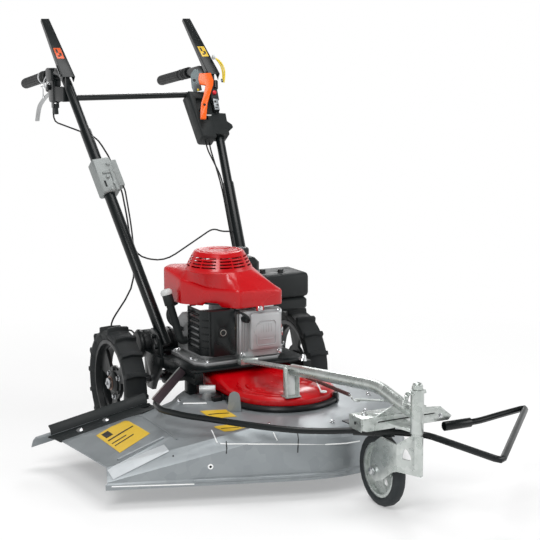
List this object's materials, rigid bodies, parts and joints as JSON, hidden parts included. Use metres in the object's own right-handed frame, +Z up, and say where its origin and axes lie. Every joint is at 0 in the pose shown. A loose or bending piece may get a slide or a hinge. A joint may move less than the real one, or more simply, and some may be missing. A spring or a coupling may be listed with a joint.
{
  "type": "self-propelled lawn mower",
  "caption": "Walk-behind petrol grass mower with a side chute, cleated drive wheels, a trailing castor in front, a guard tube and long handlebars.",
  "frame": {"origin": "middle of the footprint, on the ground", "axes": "+Z up, +Y backwards to the operator, +X to the machine's left, so the front faces -Y"},
  "size_m": [1.1208, 2.187, 1.2235],
  "materials": {
    "tyre": "matt rubber with cleats",
    "castor_tyre": "matt rubber",
    "rim": "moulded black, slight sheen",
    "castor_rim": "zinc plated",
    "zinc": "galvanised steel with soft spangle",
    "steel": "turned steel",
    "deck": "grey galvanised sheet, light wear",
    "seal": "black rubber strip",
    "red": "glossy red moulding",
    "black_plastic": "black moulded plastic",
    "black_metal": "black powder coat with a blue-green cast",
    "gearbox": "dark painted casting",
    "cast": "sand-cast aluminium",
    "rocker": "cast and painted silver",
    "muffler": "heat-stained sheet steel",
    "cap_grey": "pale grey moulded cap",
    "choke_red": "red lever",
    "rubber": "black moulded rubber",
    "lever_silver": "bright polished lever",
    "orange": "orange moulded lever",
    "button": "red push button",
    "cable": "black cable sleeve",
    "silver": "bright turned bush",
    "bearing": "machined casting"
  },
  "bodies": {
    "chassis": {"mower_deck": "deck", "chute_seal": "seal", "rear_deflector": "deck", "belt_cover": "red", "cover_ring": "black_plastic", "pivot_bush": "silver", "bearing_housing": "bearing", "drive_belt": "rubber", "chassis_frame": "black_metal", "drive_housing": "gearbox", "front_bracket": "zinc", "support_arm": "zinc", "bumper": "black_metal", "crankcase": "cast", "rocker_cover": "rocker", "muffler": "muffler", "muffler_guard": "black_metal", "fan_cover": "red", "oil_filler": "black_plastic", "fuel_tank": "black_plastic", "carburettor": "cast", "air_cleaner_base": "black_plastic", "spark_plug_cap": "rubber", "handlebar": "black_metal", "grip_right": "rubber", "grip_left": "rubber", "lever_perch": "black_metal", "handle_clamp": "zinc", "control_box": "black_plastic", "cable_drive": "cable", "cable_gearbox": "cable", "cable_link": "cable", "cable_throttle": "cable", "cable_blade": "cable"},
    "wheel_right": {"tyre_right": "tyre", "rim_right": "rim", "half_shaft_right": "steel"},
    "wheel_left": {"tyre_left": "tyre", "rim_left": "rim", "half_shaft_left": "steel"},
    "castor": {"castor_fork": "zinc", "castor_axle": "steel"},
    "castor_wheel": {"castor_tyre": "castor_tyre", "castor_rim": "castor_rim"},
    "rotor": {"crankshaft": "steel", "flywheel": "bearing"},
    "blade": {"blade_shaft": "steel", "cutting_blade": "steel", "blade_bolt": "steel"},
    "clutch_lever_right": {"long_lever_right": "black_metal"},
    "clutch_lever_left": {"long_lever_left": "black_metal"},
    "hand_brake": {"brake_lever": "lever_silver"},
    "speed_trigger": {"trigger": "black_plastic"},
    "shifter": {"shift_lever": "orange"},
    "stop_switch": {"stop_button": "button"},
    "choke": {"choke_lever": "choke_red"},
    "dipstick": {"oil_cap": "cap_grey"},
    "tank_cap": {"fuel_cap": "black_plastic"},
    "filter_lid": {"air_cleaner_cover": "black_plastic"},
    "pull_start": {"starter_handle": "black_plastic"}
  },
  "joints": [
    {"name": "right_wheel_spin", "type": "hinge", "parent": "chassis", "child": "wheel_right", "pos_m": [-0.23936, 0.14674, 0.168], "axis": [1, 0, 0], "continuous": true},
    {"name": "left_wheel_spin", "type": "hinge", "parent": "chassis", "child": "wheel_left", "pos_m": [0.34864, 0.14674, 0.168], "axis": [1, 0, 0], "continuous": true},
    {"name": "castor_swivel", "type": "hinge", "parent": "chassis", "child": "castor", "pos_m": [0.13464, -0.88326, 0.094], "axis": [0, 0, 1], "continuous": true},
    {"name": "castor_wheel_spin", "type": "hinge", "parent": "castor", "child": "castor_wheel", "pos_m": [0.13464, -0.72626, 0.094], "axis": [1, 0, 0], "continuous": true},
    {"name": "crank_spin", "type": "hinge", "parent": "chassis", "child": "rotor", "pos_m": [0.02664, 0.00674, 0.1885], "axis": [0, 0, 1], "continuous": true},
    {"name": "blade_spin", "type": "hinge", "parent": "chassis", "child": "blade", "pos_m": [0.08464, -0.27326, 0.072], "axis": [0, 0, 1], "continuous": true},
    {"name": "right_lever_press", "type": "hinge", "parent": "chassis", "child": "clutch_lever_right", "pos_m": [-0.19636, 0.64974, 1.046], "axis": [1, 0, 0], "range_deg": [-24, 0], "stiffness_Nm_per_rad": 3, "springref_deg": 20.05},
    {"name": "left_lever_press", "type": "hinge", "parent": "chassis", "child": "clutch_lever_left", "pos_m": [0.30564, 0.64974, 1.046], "axis": [1, 0, 0], "range_deg": [-24, 0], "stiffness_Nm_per_rad": 3, "springref_deg": 20.05},
    {"name": "hand_brake_pull", "type": "hinge", "parent": "chassis", "child": "hand_brake", "pos_m": [-0.19636, 0.81974, 0.997], "axis": [1, 0, 0], "range_deg": [0, 22], "stiffness_Nm_per_rad": 0.5, "springref_deg": -17.19},
    {"name": "speed_trigger_pull", "type": "hinge", "parent": "chassis", "child": "speed_trigger", "pos_m": [-0.19836, 0.76874, 0.945], "axis": [1, 0, 0], "range_deg": [0, 18], "stiffness_Nm_per_rad": 0.05, "springref_deg": -17.19},
    {"name": "gear_shift", "type": "hinge", "parent": "chassis", "child": "shifter", "pos_m": [0.23073, 0.5483, 0.9445], "axis": [0, 0.8118, -0.5839], "range_deg": [-25, 0]},
    {"name": "stop_press", "type": "slide", "parent": "chassis", "child": "stop_switch", "axis": [0, 0.8118, -0.5839], "range_m": [0, 0.0025], "stiffness_N_per_m": 800},
    {"name": "choke_turn", "type": "hinge", "parent": "chassis", "child": "choke", "pos_m": [0.18964, -0.04126, 0.312], "axis": [1, 0, 0], "range_deg": [-20, 20]},
    {"name": "dipstick_lift", "type": "slide", "parent": "chassis", "child": "dipstick", "axis": [-0.2137, 0.171, 0.9618], "range_m": [0, 0.05]},
    {"name": "tank_cap_lift", "type": "slide", "parent": "chassis", "child": "tank_cap", "axis": [0, 0, 1], "range_m": [0, 0.04]},
    {"name": "filter_lid_lift", "type": "slide", "parent": "chassis", "child": "filter_lid", "axis": [0, 0, 1], "range_m": [0, 0.08]},
    {"name": "pull_start_draw", "type": "slide", "parent": "chassis", "child": "pull_start", "axis": [0, 0.55, 0.8352], "range_m": [0, 0.3], "stiffness_N_per_m": 60}
  ],
  "couplings": [
    {"joint": "blade_spin", "follows": "crank_spin", "ratio": 0.5273}
  ]
}
